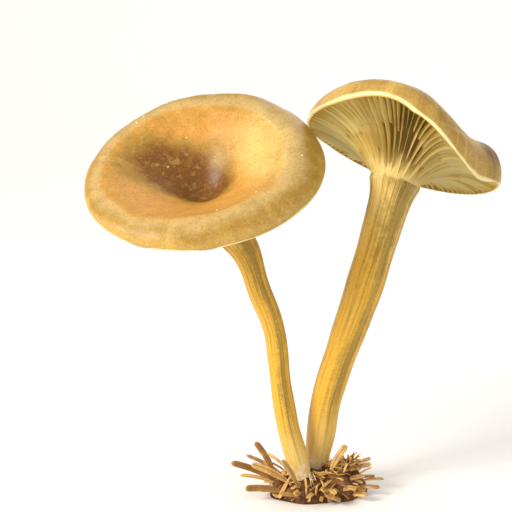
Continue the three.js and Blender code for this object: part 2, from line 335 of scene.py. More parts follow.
def cap_top_rows(shape, outer, crest, drop, bowl_depth):
    """Radius and depth from the middle of the bowl over the crest to the margin, and round its lip."""
    pit_depth, pit_radius = shape["pit"]
    rows = []
    for share in np.linspace(0.02, 1, 44):
        bowl = bowl_depth * (1 - share ** 2) ** 1.35
        pit = pit_depth * np.exp(-((share * crest / pit_radius) ** 2) * 1.6)
        rows.append((share * crest, bowl + pit, share * 0.8))
    for turn in np.linspace(0, 1, 18)[1:]:
        quarter = turn * math.pi / 2
        radius = crest + (outer - crest) * math.sin(quarter)
        rows.append((radius, drop * (1 - math.cos(quarter)), 0.8 + 0.2 * turn))
    lip = shape["lip"]
    for turn in np.linspace(0, 1, 7)[1:]:
        half = turn * math.pi
        radius = outer - lip * 0.35 * (1 - math.cos(half))
        rows.append((radius, drop + lip * 0.45 * math.sin(half * 0.5), 1.0 + 0.02 * turn))
    return rows


def gill_rows(shape, rng, outer, drop, angle, gills):
    """Radius, depth and angle shift of the gill blades and valleys, from the margin in to the stem."""
    lip = shape["lip"]
    kind = np.arange(gills) % 4
    short = np.where(kind == 2, 0.92, 0.60) + rng.uniform(-0.09, 0.05, gills)
    ends = np.where(kind == 0, 1.04, short)
    tall = rng.uniform(0.84, 1.06, gills)
    phase = rng.uniform(0, TURN, gills)
    per_column = lambda values: np.repeat(values, COLUMNS_PER_GILL)
    blade = np.tile(GILL_COLUMN_REACH, gills)
    rows = []
    for step in np.linspace(0, 1, 47)[1:]:
        t = step ** 1.15
        near = np.array([t - 0.01, t, t + 0.01])[:, None]
        place = [quadratic(start, bend, end, near) for start, bend, end in (
            (outer - lip * 0.7, shape["gill_bend"][0], shape["gill_end"][0]),
            (drop + lip * 0.45, shape["gill_bend"][1], shape["gill_end"][1]))]
        run, fall = place[0][2] - place[0][0], place[1][2] - place[1][0]
        size = np.hypot(run, fall)
        present = 1 - smooth_step(per_column(ends) - 0.16, per_column(ends), np.array(t))
        reach = blade * present * per_column(tall)
        width = shape["gill_width"] * math.sin(math.pi * min(t, 1) ** 0.75) ** 0.8 + 0.02
        lift = width * (1 - reach)
        wave = 0.10 * np.sin(5.5 * t + per_column(phase)) * blade * TURN / gills
        radius = place[0][1] - lift * fall / size
        depth = place[1][1] + lift * run / size
        rows.append((radius, depth, 1.02 + t, wave, reach))
    return rows


def stem_rows(shape, rng, axis, angle, gills):
    """Radius and depth of the stem: the gills run out down it, over shallow fibres that wander."""
    end_radius, end_depth = shape["gill_end"]
    first = end_depth + 4
    knots = np.linspace(first, axis.length, len(shape["stem_radius"]))
    depths = np.linspace(end_depth, axis.length, 110)[1:]
    fine = np.linspace(end_depth - 3, axis.length, 400)
    radii = np.interp(fine, np.concatenate([[end_depth - 3, end_depth], knots]),
                      [end_radius + 0.9, end_radius] + shape["stem_radius"])
    window = np.hanning(29)
    padded = np.pad(radii, 14, mode="edge")
    radii = np.convolve(padded, window / window.sum(), mode="valid")
    fibres = [(int(k), rng.uniform(0, TURN), rng.normal(0, 0.05), rng.uniform(0.4, 1))
              for k in (5, 8, 13, 19, 26, 34, 41, 55)]
    running = np.where(np.arange(gills) % 4 == 0, rng.uniform(0.10, 0.24, gills), 0.06)
    running = np.repeat(running, COLUMNS_PER_GILL)
    blade = np.tile(GILL_COLUMN_REACH, gills)
    rows = []
    for depth in depths:
        share = (depth - end_depth) / (axis.length - end_depth)
        left = np.maximum(0, 1 - share / running) ** 1.4 * blade
        grooves = sum(size / math.sqrt(k) * np.cos(k * angle + start + drift * depth)
                      for k, start, drift, size in fibres)
        foot = math.sqrt(max(0.0, 1 - max(0.0, (share - 0.965) / 0.035) ** 2.4 * 0.55))
        uneven = 0.07 * math.sin(depth * 0.21 + shape["seed"]) + 0.05 * math.sin(depth * 0.47)
        radius = np.interp(depth, fine, radii) + 0.085 * grooves * smooth_step(0, 0.1, share) + uneven
        rows.append(((radius + 0.5 * left - 0.25) * foot, depth, 2.02 + share, left))
    return rows


def mushroom_object(shape, cap_radius, bowl_depth, gills):
    """One mushroom as one closed surface: cap, lip, gills and stem grew as one piece."""
    rng = np.random.default_rng(shape["seed"])
    axis = Axis(shape["axis"])
    columns = gills * COLUMNS_PER_GILL
    places = (np.arange(gills)[:, None] + GILL_COLUMN_PLACES[None]).ravel() / gills
    angle = places * TURN
    outer = cap_radius * (1 + shape["swell"](angle))
    crest = outer * (shape["crest_share"] - shape["crest_shift"] * np.cos(angle))
    drop = shape["margin_drop"](angle)
    zero, ones = np.zeros(columns), np.ones(columns)
    rows = [(r * ones, d * ones, reach, zero, zero)
            for r, d, reach in cap_top_rows(shape, outer, crest, drop, bowl_depth)]
    top_count = len(rows)
    rows += gill_rows(shape, rng, outer, drop, angle, gills)
    gill_count = len(rows) - top_count
    rows += [(r, d * ones, reach, zero, left)
             for r, d, reach, left in stem_rows(shape, rng, axis, angle, gills)]
    radius = np.array([row[0] for row in rows])
    depth = np.array([row[1] for row in rows])
    reach = np.array([row[2] * ones for row in rows])
    turned = angle[None] + np.array([row[3] for row in rows])
    blade = np.array([row[4] for row in rows])
    depth = depth + shape["sag"](turned) * (radius / outer[None]) ** 2
    flat = np.stack([radius * np.cos(turned), radius * np.sin(turned)], axis=-1)
    on_top = (reach <= 1.0)
    depth = depth + np.where(on_top, ripples(rng, flat, (17.0, 9.0, 5.0), 0.32), 0)
    streaks = sum(np.cos(k * turned + rng.uniform(0, TURN)) / math.sqrt(k) for k in (31, 47, 73, 101))
    depth = depth + np.where(on_top, shape["striae"] * streaks * smooth_step(0.35, 0.95, reach), 0)
    points = axis.around(radius, turned, depth).reshape(-1, 3)
    middle = axis.at(axis.line, np.array([bowl_depth + shape["pit"][0]]))
    foot = axis.line[-1:] + np.array([[0, 0, -0.5]])
    piece = new_object(shape["node"] + "_grown", np.vstack([middle, points, foot]),
                       ring_faces(len(rows), columns))
    around = np.stack([np.cos(turned), np.sin(turned), reach], axis=-1).reshape(-1, 3)
    add_values(piece, "around", np.vstack([[[1, 0, 0]], around, [[1, 0, 3.02]]]))
    add_values(piece, "reach", np.concatenate([[0], reach.ravel(), [3.02]]))
    add_values(piece, "blade", np.concatenate([[0], blade.ravel(), [0]]))
    for name in ("soaked_and_painted_shade", "pale_and_painted_highlight"):
        place = flat / outer[None, :, None]
        amount = sum(np.exp(-((place[..., 0] - x) / wide) ** 2 - ((place[..., 1] - y) / long) ** 2)
                     for x, y, wide, long in shape[name])
        add_values(piece, name, np.concatenate([[amount[0].mean()], amount.ravel(), [0]]))
    face_rows = np.array([polygon.vertices[0] for polygon in piece.data.polygons])
    row_of = np.maximum(face_rows - 1, 0) // columns
    zones = np.where(row_of < top_count - 1, 0, np.where(row_of < top_count + gill_count - 1, 1, 2))
    zones[face_rows == 0] = 0
    piece.data.polygons.foreach_set("material_index", zones.astype(np.int32))
    return piece


def needle_surface(root, tip, width, rng, lean=0.9, sides=20, steps=44):
    """One fir needle: a slim foot, parallel sides, a blunt notched tip and a groove along its upper face."""
    root, tip = np.array(root, dtype=float), np.array(tip, dtype=float)
    length = np.linalg.norm(tip - root)
    along = (tip - root) / length
    across = np.cross([0, 0, 1.0], along)
    across /= np.linalg.norm(across)
    up = np.cross(along, across)
    shares = np.linspace(0, 1, steps + 2)[1:-1] ** 0.92
    angle = -np.arange(sides) / sides * TURN
    twist, bow = rng.uniform(-0.5, 0.5), rng.uniform(-0.03, 0.03)
    # The broad face leans out of the clump, to the side that the needle lies on.
    out = 1 if (root[1] + tip[1]) / 2 > 1.5 else -1
    lean *= out if across[1] < 0 else -out
    points, along_values, across_values = [root], [0.0], [0.0]
    for share in shares:
        body = 0.26 + 0.66 * smooth_step(0.0, 0.55, share)
        tip_round = math.sqrt(max(0.0, 1 - max(0.0, (share - 0.86) / 0.14) ** 2.2))
        half = width / 2 * body * tip_round
        thick = (0.40 + 0.25 * (1 - smooth_step(0.02, 0.2, share))) * max(half, 0.05)
        side = np.cos(angle) * half
        groove = 0.30 * thick * np.exp(-((side / (0.16 * width)) ** 2))
        rise = np.sin(angle) * thick
        rise = np.where(np.sin(angle) > 0.2, rise - groove, rise + 0.25 * groove)
        roll = lean + twist * (share - 0.5)
        centre = (root + along * share * length + up * 0.05 * length * math.sin(math.pi * share)
                  + across * bow * length * math.sin(math.pi * share))
        wide = across * math.cos(roll) + up * math.sin(roll)
        tall = up * math.cos(roll) - across * math.sin(roll)
        notch = -0.06 * width * np.exp(-((side / (0.2 * width)) ** 2)) * smooth_step(0.93, 1, share)
        points += list(centre + side[:, None] * wide + rise[:, None] * tall + notch[:, None] * along)
        along_values += [share] * sides
        across_values += list(np.cos(angle))
    points.append(tip - along * 0.06 * width)
    ages = [rng.uniform(0, 1)] * len(points)
    return points, ring_faces(steps, sides), along_values + [1.0], across_values + [0.0], ages


def broken_needles(rng):
    """Short broken needles that lie all over the mound."""
    surfaces = []
    for _ in range(BROKEN_NEEDLES):
        turn, out = rng.uniform(0, TURN), rng.uniform(0.25, 0.98)
        x = MOUND_LENGTH * out * math.cos(turn) + MOUND_MIDDLE
        y = MOUND_WIDTH * out * math.sin(turn)
        z = MOUND_HEIGHT * (1 - out ** 4) * 0.95 + shoulder(x, y) + 0.25
        heading = turn + rng.normal(0, 0.9)
        length = rng.uniform(2.6, 5.2)
        slope = -0.9 * out ** 3 + rng.normal(0.1, 0.22)
        half = 0.5 * length * np.array([math.cos(heading), math.sin(heading), slope])
        middle = np.array([x, y, z])
        ends = [middle - half, middle + half]
        lift = max(0.0, 0.7 - min(end[2] for end in ends))
        surfaces.append(needle_surface(ends[0] + [0, 0, lift], ends[1] + [0, 0, lift],
                                       rng.uniform(0.8, 1.5), rng, rng.uniform(-0.6, 0.6), 10, 12))
    return surfaces


def rim_needles(rng):
    """Needles that point out of the mound all round its rim."""
    surfaces = []
    for index in range(RIM_NEEDLES):
        turn = index / RIM_NEEDLES * TURN + rng.normal(0, 0.08)
        heading = turn + rng.normal(0, 0.30)
        out, length = rng.uniform(0.62, 0.92), rng.uniform(4.5, 8.5)
        start = np.array([MOUND_LENGTH * out * math.cos(turn) + MOUND_MIDDLE,
                          MOUND_WIDTH * out * math.sin(turn), rng.uniform(0.9, 3.4)])
        slope = rng.uniform(-0.05, 0.35)
        aim = np.array([math.cos(heading), math.sin(heading), slope])
        surfaces.append(needle_surface(start, start + length * aim, rng.uniform(1.2, 1.7), rng,
                                       rng.uniform(0.2, 0.9), 14, 22))
    return surfaces


def sprig_needles(rng):
    """A sprig of short needles that stands on the mound's right shoulder."""
    surfaces = []
    for _ in range(SPRIG_NEEDLES):
        stalk = rng.uniform(0, 1)
        start = np.array([5.0 + 5.6 * stalk, -0.6 + rng.normal(0, 1.6), 5.2 + 3.6 * stalk])
        fan = rng.normal(0.35, 0.75)
        aim = np.array([math.cos(fan), rng.normal(-0.1, 0.55), 0.25 + math.sin(fan)])
        reach = rng.uniform(1.6, 3.4) * aim / np.linalg.norm(aim)
        surfaces.append(needle_surface(start, start + reach, rng.uniform(0.45, 0.8), rng,
                                       rng.uniform(-0.8, 0.8), 8, 10))
    return surfaces


def needle_object(name, surfaces):
    """One needle, or several that lie felted together, as one mesh with what its material reads."""
    piece = joined_object(name, [surface[:2] for surface in surfaces])
    for index, value in enumerate(("along", "across", "age"), start=2):
        add_values(piece, value, np.concatenate([surface[index] for surface in surfaces]))
    return piece


def shoulder(x, y):
    """Height that the mound gains on its right side, in millimetres."""
    return 3.4 * np.exp(-((x - 8) ** 2 + (y - 0.5) ** 2) / 22)


def tuft_object(sizes):
    """The mound of leaf mould, felted together and ragged at its rim."""
    rng = np.random.default_rng(5)
    columns = 180
    angle = np.arange(columns) / columns * TURN
    ragged = 1 + 0.05 * np.cos(3 * angle + 0.5) + 0.04 * np.cos(7 * angle)
    spreads = np.concatenate([[0.985, 1.0], np.linspace(1.0, 0.0, 60)[1:-1]])
    rises = np.interp(spreads, [0.0, 0.25, 0.5, 0.72, 0.88, 0.97, 1.0], [1, 1, 0.93, 0.8, 0.6, 0.36, 0.10])
    rises[0] = 0.0
    half_length, half_width, height = (
        sizes.tuft_half_length / MM, sizes.tuft_half_width / MM, sizes.tuft_height / MM)
    spread, a = np.meshgrid(spreads, angle, indexing="ij")
    x = half_length * spread * np.cos(a) * ragged + 0.6
    y = half_width * spread * np.sin(a) * ragged
    z = height * rises[:, None] * np.ones_like(a)
    z = z + shoulder(x, y) * np.minimum(1, rises[:, None] * 1.4)
    rough = ripples(rng, np.stack([x, y, z], axis=-1), (5.0, 2.6, 1.4, 0.8), 0.55)
    z = np.maximum(z + rough * smooth_step(0, 0.4, rises)[:, None], 0)
    z[0] = 0.0
    points = np.stack([x, y, z], axis=-1).reshape(-1, 3)
    points = np.vstack([[[0.6, 0, 0.0]], points, [[0.6, 0, z[-1].mean()]]])
    faces = [tuple(reversed(f)) for f in ring_faces(len(spreads), columns)]
    piece = new_object("litter_mound", points, faces)
    bm = bmesh.new()
    bm.from_mesh(piece.data)
    bmesh.ops.recalc_face_normals(bm, faces=bm.faces)
    bm.to_mesh(piece.data)
    bm.free()
    add_values(piece, "height", points[:, 2])
    return piece


def thread_surface(line, radius):
    """A thread of mycelium: a thin closed tube along a wandering line, in millimetres."""
    line = np.array(line)
    sides = 6
    along = np.gradient(line, axis=0)
    along /= np.linalg.norm(along, axis=1)[:, None]
    wide = np.cross(along, [0.31, 0.22, 0.92])
    wide /= np.linalg.norm(wide, axis=1)[:, None]
    tall = np.cross(wide, along)
    points = [line[0]]
    for i in range(len(line)):
        size = radius * (0.25 + 0.75 * math.sin(math.pi * (i + 0.5) / len(line)))
        for k in range(sides):
            turn = k / sides * TURN
            points.append(line[i] + size * (math.cos(turn) * wide[i] + math.sin(turn) * tall[i]))
    points.append(line[-1])
    return points, ring_faces(len(line), sides)


def joined_object(name, parts):
    """Several closed surfaces as one mesh, for litter that is felted together."""
    points, faces = [], []
    for part_points, part_faces in parts:
        first = len(points)
        points += list(part_points)
        faces += [tuple(i + first for i in face) for face in part_faces]
    piece = new_object(name, np.array(points), faces)
    bm = bmesh.new()
    bm.from_mesh(piece.data)
    bmesh.ops.recalc_face_normals(bm, faces=bm.faces)
    bm.to_mesh(piece.data)
    bm.free()
    return piece


def grains_object(name, cap, count):
    """Pale grains half sunk in the skin of a cap, on its upper side."""
    rng = np.random.default_rng(8)
    faces = [face for face in cap.data.polygons if face.material_index == 0 and face.normal.z > 0.3]
    areas = np.array([face.area for face in faces])
    parts = []
    for index in rng.choice(len(faces), count, replace=False, p=areas / areas.sum()):
        middle = np.array(faces[index].center) / MM
        size = rng.uniform(0.20, 0.36)
        rows = []
        for turn in np.linspace(0, math.pi, 8)[1:-1]:
            for step in range(10):
                around = step / 10 * TURN
                rows.append(middle + size * np.array([math.sin(turn) * math.cos(around),
                                                      math.sin(turn) * math.sin(around), math.cos(turn)]))
        parts.append(([middle + [0, 0, size], *rows, middle - [0, 0, size]], ring_faces(6, 10)))
    return joined_object(name, parts)


# ---- materials --------------------------------------------------------------------------------------


class Surface:
    """A material whose nodes are added one at a time, ending in one Principled shader."""

    def __init__(self, name, roughness, ior=1.45, sheen=0.0, subsurface=0.0):
        self.material = bpy.data.materials.new(name)
        self.material.use_nodes = True
        self.tree = self.material.node_tree
        self.tree.nodes.clear()
        self.shader = self.add("ShaderNodeBsdfPrincipled", IOR=ior, Roughness=roughness)
        if sheen:
            self.shader.inputs["Sheen Weight"].default_value = sheen
            self.shader.inputs["Sheen Roughness"].default_value = 0.5
        if subsurface:
            self.shader.inputs["Subsurface Weight"].default_value = subsurface
            self.shader.inputs["Subsurface Radius"].default_value = (1.0, 0.55, 0.25)
            self.shader.inputs["Subsurface Scale"].default_value = 1.4 * MM
        output = self.add("ShaderNodeOutputMaterial")
        self.tree.links.new(self.shader.outputs[0], output.inputs["Surface"])

    def add(self, kind, links=None, **settings):
        """Adds one node. Links and settings go by input name; other settings are the node's own."""
        node = self.tree.nodes.new(kind)
        for name, value in settings.items():
            title = name.replace("_", " ")
            if title in node.inputs:
                node.inputs[title].default_value = value
            elif name in node.inputs:
                node.inputs[name].default_value = value
            else:
                setattr(node, name, value)
        for name, source in (links or {}).items():
            self.tree.links.new(source, node.inputs[name])
        return node

    def value(self, name):
        """A stored number of the mesh."""
        return self.add("ShaderNodeAttribute", attribute_name=name).outputs["Fac"]

    def vector(self, name):
        """A stored vector of the mesh."""
        return self.add("ShaderNodeAttribute", attribute_name=name).outputs["Vector"]

    def place(self):
        return self.add("ShaderNodeTexCoord").outputs["Object"]

    def math(self, operation, first, second=None, clamp=False):
        node = self.add("ShaderNodeMath", operation=operation, use_clamp=clamp)
        for socket, source in zip(node.inputs, (first, second)):
            if source is None:
                continue
            if isinstance(source, (int, float)):
                socket.default_value = source
            else:
                self.tree.links.new(source, socket)
        return node.outputs[0]

    def stretched(self, vector, scale):
        """A vector multiplied along each of its directions."""
        node = self.add("ShaderNodeVectorMath", links={0: vector}, operation="MULTIPLY")
        node.inputs[1].default_value = scale
        return node.outputs[0]

    def noise(self, vector, scale, detail=4.0, roughness=0.55):
        return self.add("ShaderNodeTexNoise", links={"Vector": vector}, Scale=scale, Detail=detail,
                        Roughness=roughness).outputs["Fac"]

    def spread(self, value, low, high):
        """A number spread over 0 to 1 between two limits, softly."""
        node = self.add("ShaderNodeMapRange", links={"Value": value}, interpolation_type="SMOOTHSTEP")
        node.inputs["From Min"].default_value = low
        node.inputs["From Max"].default_value = high
        return node.outputs["Result"]

    def blend(self, share, first, second, mode="MIX"):
        """Two colours, each a colour or a link, blended by a number or a link."""
        node = self.add("ShaderNodeMix", data_type="RGBA", blend_type=mode)
        sockets = [s for s in node.inputs if s.type == "RGBA"]
        for socket, source in ((node.inputs[0], share), (sockets[0], first), (sockets[1], second)):
            if isinstance(source, bpy.types.NodeSocket):
                self.tree.links.new(source, socket)
            elif isinstance(source, (int, float)):
                socket.default_value = source
            else:
                socket.default_value = (*source, 1)
        return [s for s in node.outputs if s.type == "RGBA"][0]

    def colour(self, source):
        self.tree.links.new(source, self.shader.inputs["Base Color"])

    def bump(self, height, strength, millimetres):
        node = self.add("ShaderNodeBump", links={"Height": height}, Strength=strength,
                        Distance=millimetres * MM)
        self.tree.links.new(node.outputs[0], self.shader.inputs["Normal"])


def cap_skin(colours, name, streaked):
    """Moist felted cap skin: brown in the wet hollow, with painted shade on the bowl's left inner wall, and
    a painted highlight that makes the lit side paler.
    """
    skin = Surface(name, roughness=0.44, ior=1.42, subsurface=0.05)
    around, reach, place = skin.vector("around"), skin.value("reach"), skin.place()
    # Streaks 0.5-1 mm wide run out from the middle; clouds are 8 mm wide and the felt's grain 0.5 mm.
    streaks = skin.noise(skin.stretched(around, (15, 15, 1.4)), 1.0, 4.0, 0.55)
    cloud = skin.math("SUBTRACT", skin.noise(place, 120.0, 4.0, 0.6), 0.5)
    grain = skin.noise(place, 1900.0, 3.0, 0.7)
    mottle = skin.noise(place, 330.0, 4.0, 0.65)
    # Brown and pale places: the wet brown middle, painted shade on the bowl's left inner wall, and a painted
    # highlight on the lit side. The cloud adds uneven tone.
    soaked_and_painted_shade = skin.math("ADD", skin.value("soaked_and_painted_shade"), skin.math("MULTIPLY", cloud, 0.85))
    pale_and_painted_highlight = skin.math("ADD", skin.value("pale_and_painted_highlight"), skin.math("MULTIPLY", cloud, 0.7))
    body = skin.blend(skin.spread(pale_and_painted_highlight, 0.15, 0.85), colours.cap_gold, colours.cap_pale)
    # Olive flank band, partly the flank's own tone and partly painted half-shade on the down-turned flank.
    flank_line = skin.math("ADD", reach, skin.math("MULTIPLY", cloud, 0.16))
    body = skin.blend(skin.math("MULTIPLY", skin.spread(flank_line, 0.74, 0.86), 0.85), body,
                      colours.cap_olive)
    body = skin.blend(skin.math("MULTIPLY", skin.spread(flank_line, 0.90, 0.96), 0.30), body,
                      colours.cap_pale)
    # Painted shade: an olive ring on the inner wall just in from the crest.
    painted_shade_inside_crest = skin.math("MULTIPLY", skin.spread(flank_line, 0.58, 0.72), skin.spread(flank_line, 0.80, 0.73))
    body = skin.blend(skin.math("MULTIPLY", painted_shade_inside_crest, 0.30), body, colours.cap_olive)
    # Painted highlight: a pale line along the crest.
    painted_ridge_highlight = skin.math("MULTIPLY", skin.spread(flank_line, 0.76, 0.81), skin.spread(flank_line, 0.90, 0.83))
    body = skin.blend(skin.math("MULTIPLY", painted_ridge_highlight, 0.30), body, colours.margin)
    # Olive, then brown, over the wet hollow and over the painted shade on the bowl's left inner wall.
    body = skin.blend(skin.math("MULTIPLY", skin.spread(soaked_and_painted_shade, 0.16, 0.50), 0.8), body, colours.cap_olive)
    body = skin.blend(skin.math("MULTIPLY", skin.spread(soaked_and_painted_shade, 0.34, 0.84), 0.92), body, colours.cap_brown)
    body = skin.blend(skin.math("MULTIPLY", skin.spread(mottle, 0.50, 0.34), 0.32), body, colours.cap_olive)
    body = skin.blend(skin.math("MULTIPLY", skin.spread(mottle, 0.54, 0.70), 0.28), body, colours.cap_pale)
    shown = skin.math("MULTIPLY", skin.spread(reach, 0.30, 0.75), streaked)
    body = skin.blend(skin.math("MULTIPLY", skin.spread(streaks, 0.50, 0.68), shown), body,
                      colours.cap_pale)
    faint = skin.math("MULTIPLY", shown, 0.7)
    body = skin.blend(skin.math("MULTIPLY", skin.spread(streaks, 0.44, 0.30), faint), body,
                      colours.cap_brown)
    body = skin.blend(skin.math("MULTIPLY", skin.spread(grain, 0.52, 0.36), 0.26), body, colours.cap_brown)
    body = skin.blend(skin.math("MULTIPLY", skin.spread(grain, 0.55, 0.70), 0.22), body, colours.cap_pale)
    edged = skin.blend(skin.spread(reach, 0.990, 0.999), body, colours.margin)
    skin.colour(skin.blend(skin.spread(reach, 1.006, 1.017), edged, colours.gill))
    relief = skin.math("ADD", skin.math("MULTIPLY", streaks, shown), skin.math("MULTIPLY", grain, 0.5))
    skin.bump(relief, 0.4, 0.2)
    return skin.material


def gill_flesh(colours, name):
    """Waxy gill flesh: pale thin edges over valleys darkened as painted shade, so that the gills read one by
    one.
    """
    flesh = Surface(name, roughness=0.5, ior=1.42, subsurface=0.06)
    blade, reach, place = flesh.value("blade"), flesh.value("reach"), flesh.place()
    cloud = flesh.noise(place, 150.0, 2.0, 0.5)
    face = flesh.blend(flesh.math("MULTIPLY", flesh.spread(cloud, 0.4, 0.65), 0.5), colours.gill,
                       colours.stem_pale)
    # Painted shade: the valleys between the gills are darker.
    depth = flesh.blend(flesh.spread(blade, 0.02, 0.50), colours.gill_valley_painted_shade, face)
    edged = flesh.blend(flesh.spread(blade, 0.72, 0.95), depth, colours.gill_edge)
    run_out = flesh.blend(flesh.math("MULTIPLY", flesh.spread(reach, 1.70, 2.02), 0.75), edged,
                          colours.stem_pale)
    flesh.colour(flesh.blend(flesh.spread(reach, 1.030, 1.018), run_out, colours.gill))
    flesh.bump(flesh.noise(place, 900.0, 3.0, 0.55), 0.12, 0.1)
    return flesh.material


def stem_skin(colours, name, pale_top):
    """Fibrous stem cortex: silky lengthwise fibres, olive between them, with painted shade that makes its
    right side more olive, ending in white felt.
    """
    skin = Surface(name, roughness=0.46, ior=1.43, sheen=0.05, subsurface=0.04)
    around, reach, place = skin.vector("around"), skin.value("reach"), skin.place()
    # Broad streaks 2-4 mm wide, fibres 0.4-1 mm wide, all tens of millimetres long.
    broad = skin.noise(skin.stretched(around, (1.5, 1.5, 1.6)), 1.0, 3.0, 0.5)
    fibres = skin.noise(skin.stretched(around, (8.0, 8.0, 2.4)), 1.0, 4.0, 0.6)
    mottle = skin.math("SUBTRACT", skin.noise(place, 420.0, 4.0, 0.65), 0.5)
    grain = skin.noise(place, 1700.0, 3.0, 0.7)
    down = skin.math("SUBTRACT", reach, 2.0)
    pale = skin.math("ADD", down, skin.math("MULTIPLY", mottle, 0.16))
    body = skin.blend(skin.math("MULTIPLY", skin.spread(pale, pale_top, 0.0), 0.8), colours.stem_gold,
                      colours.stem_pale)
    # Painted shade: the side of the stem facing +X, away from the key light, is pushed towards olive.
    side = skin.add("ShaderNodeSeparateXYZ", links={0: around}).outputs["X"]
    shade = skin.math("ADD", skin.math("MULTIPLY", side, 0.10), skin.math("MULTIPLY", mottle, 0.22))
    olive_streak_and_side_shade = skin.math("ADD", broad, shade)
    body = skin.blend(skin.math("MULTIPLY", skin.spread(olive_streak_and_side_shade, 0.48, 0.64), 0.85), body,
                      colours.stem_olive)
    body = skin.blend(skin.math("MULTIPLY", skin.spread(fibres, 0.50, 0.36), 0.42), body,
                      colours.gill_valley)
    body = skin.blend(skin.math("MULTIPLY", skin.spread(fibres, 0.54, 0.68), 0.40), body, colours.stem_pale)
    body = skin.blend(skin.math("MULTIPLY", skin.spread(grain, 0.54, 0.70), 0.25), body, colours.stem_pale)
    body = skin.blend(skin.math("MULTIPLY", skin.spread(grain, 0.48, 0.34), 0.22), body,
                      colours.gill_valley)
    body = skin.blend(skin.math("MULTIPLY", skin.spread(skin.value("blade"), 0.1, 0.7), 0.7), body,
                      colours.gill_edge)
    low = skin.math("MULTIPLY", skin.spread(down, 0.72, 0.93), 0.55)
    body = skin.blend(low, body, colours.stem_pale)
    felt = skin.spread(skin.math("ADD", down, skin.math("MULTIPLY", mottle, 0.22)), 0.90, 0.99)
    skin.colour(skin.blend(felt, body, colours.felt))
    relief = skin.math("ADD", skin.math("MULTIPLY", fibres, 0.8), skin.math("MULTIPLY", grain, 0.35))
    skin.bump(relief, 0.45, 0.3)
    return skin.material


def needle_skin(colours, name):
    """Dead fir needle: a dull waxy skin, bleached tan or rotted brown, darker towards the foot."""
    skin = Surface(name, roughness=0.45, ior=1.46)
    along, across, age, place = (skin.value("along"), skin.value("across"), skin.value("age"),
                                 skin.place())
    blotches = skin.noise(place, 420.0, 4.0, 0.6)
    mixed = skin.math("ADD", age, skin.math("MULTIPLY", skin.math("SUBTRACT", blotches, 0.5), 0.9))
    body = skin.blend(skin.spread(mixed, 0.2, 0.95), colours.needle_tan, colours.needle_brown)
    rib = skin.math("ABSOLUTE", across)
    body = skin.blend(skin.math("MULTIPLY", skin.spread(rib, 0.26, 0.06), 0.7), body, colours.needle_brown)
    foot = skin.blend(skin.math("MULTIPLY", skin.spread(along, 0.22, 0.0), 0.6), body, colours.humus_light)
    skin.colour(skin.blend(skin.math("MULTIPLY", skin.spread(along, 0.92, 1.0), 0.4), foot,
                           colours.cap_pale))
    skin.bump(blotches, 0.3, 0.12)
    return skin.material


def humus_surface(colours, name):
    """Leaf mould: dark, matt and crumbly, with paler dry crumbs and threads of white mycelium."""
    mould = Surface(name, roughness=0.9)
    place, height = mould.place(), mould.value("height")
    crumbs = mould.noise(place, 480.0, 6.0, 0.7)
    cloud = mould.noise(place, 130.0, 3.0, 0.55)
    body = mould.blend(mould.spread(crumbs, 0.40, 0.66), colours.humus, colours.humus_light)
    body = mould.blend(mould.math("MULTIPLY", mould.spread(cloud, 0.5, 0.7), 0.5), body,
                       colours.needle_brown)
    mouldy = mould.math("MULTIPLY", mould.spread(cloud, 0.56, 0.70), mould.spread(crumbs, 0.45, 0.60))
    mould.colour(mould.blend(mould.math("MULTIPLY", mouldy, 0.10), body, colours.felt))
    mould.bump(crumbs, 0.7, 0.5)
    return mould.material


def felt_surface(colours, name):
    """White mycelium: soft matt fluff that binds the needles to the stems."""
    felt = Surface(name, roughness=0.85, sheen=0.3, subsurface=0.1)
    fluff = felt.noise(felt.place(), 800.0, 5.0, 0.65)
    felt.colour(felt.blend(felt.spread(fluff, 0.35, 0.7), colours.felt, colours.cap_pale))
    felt.bump(fluff, 0.5, 0.25)
    return felt.material


# ---- operators --------------------------------------------------------------------------------------


class CLUMP_OT_bowl(bpy.types.Operator):
    """Grow the mushroom with the wide shallow bowl, in place of its plain node"""
    bl_idname = "clump.bowl"
    bl_label = "Grow bowl mushroom"

    def execute(self, context):
        scene = context.scene
        sizes, colours = scene.clump_sizes, scene.clump_colours
        piece = mushroom_object(BOWL, sizes.bowl_cap_radius / MM, sizes.bowl_depth / MM, sizes.gill_count)
        for material in (cap_skin(colours, "bowl_cap_felted_skin", 0.16),
                         gill_flesh(colours, "bowl_gill_waxy_flesh"),
                         stem_skin(colours, "bowl_stem_fibrous_cortex", 0.12)):
            piece.data.materials.append(material)
        settle(piece, BOWL["slot"], BOWL["node"])
        grains = grains_object("bowl_cap_grains", piece, GRAINS)
        grains.data.materials.append(felt_surface(colours, "pale_spore_grains"))
        settle(grains, BOWL["slot"])
        return {"FINISHED"}


class CLUMP_OT_funnel(bpy.types.Operator):
    """Grow the taller mushroom with the tilted funnel cap, in place of its plain node"""
    bl_idname = "clump.funnel"
    bl_label = "Grow funnel mushroom"

    def execute(self, context):
        scene = context.scene
        sizes, colours = scene.clump_sizes, scene.clump_colours
        piece = mushroom_object(FUNNEL, sizes.funnel_cap_radius / MM, sizes.funnel_depth / MM,
                                sizes.gill_count)
        for material in (cap_skin(colours, "funnel_cap_striate_skin", 0.45),
                         gill_flesh(colours, "funnel_gill_waxy_flesh"),
                         stem_skin(colours, "funnel_stem_fibrous_cortex", 0.30)):
            piece.data.materials.append(material)
        settle(piece, FUNNEL["slot"], FUNNEL["node"])
        return {"FINISHED"}


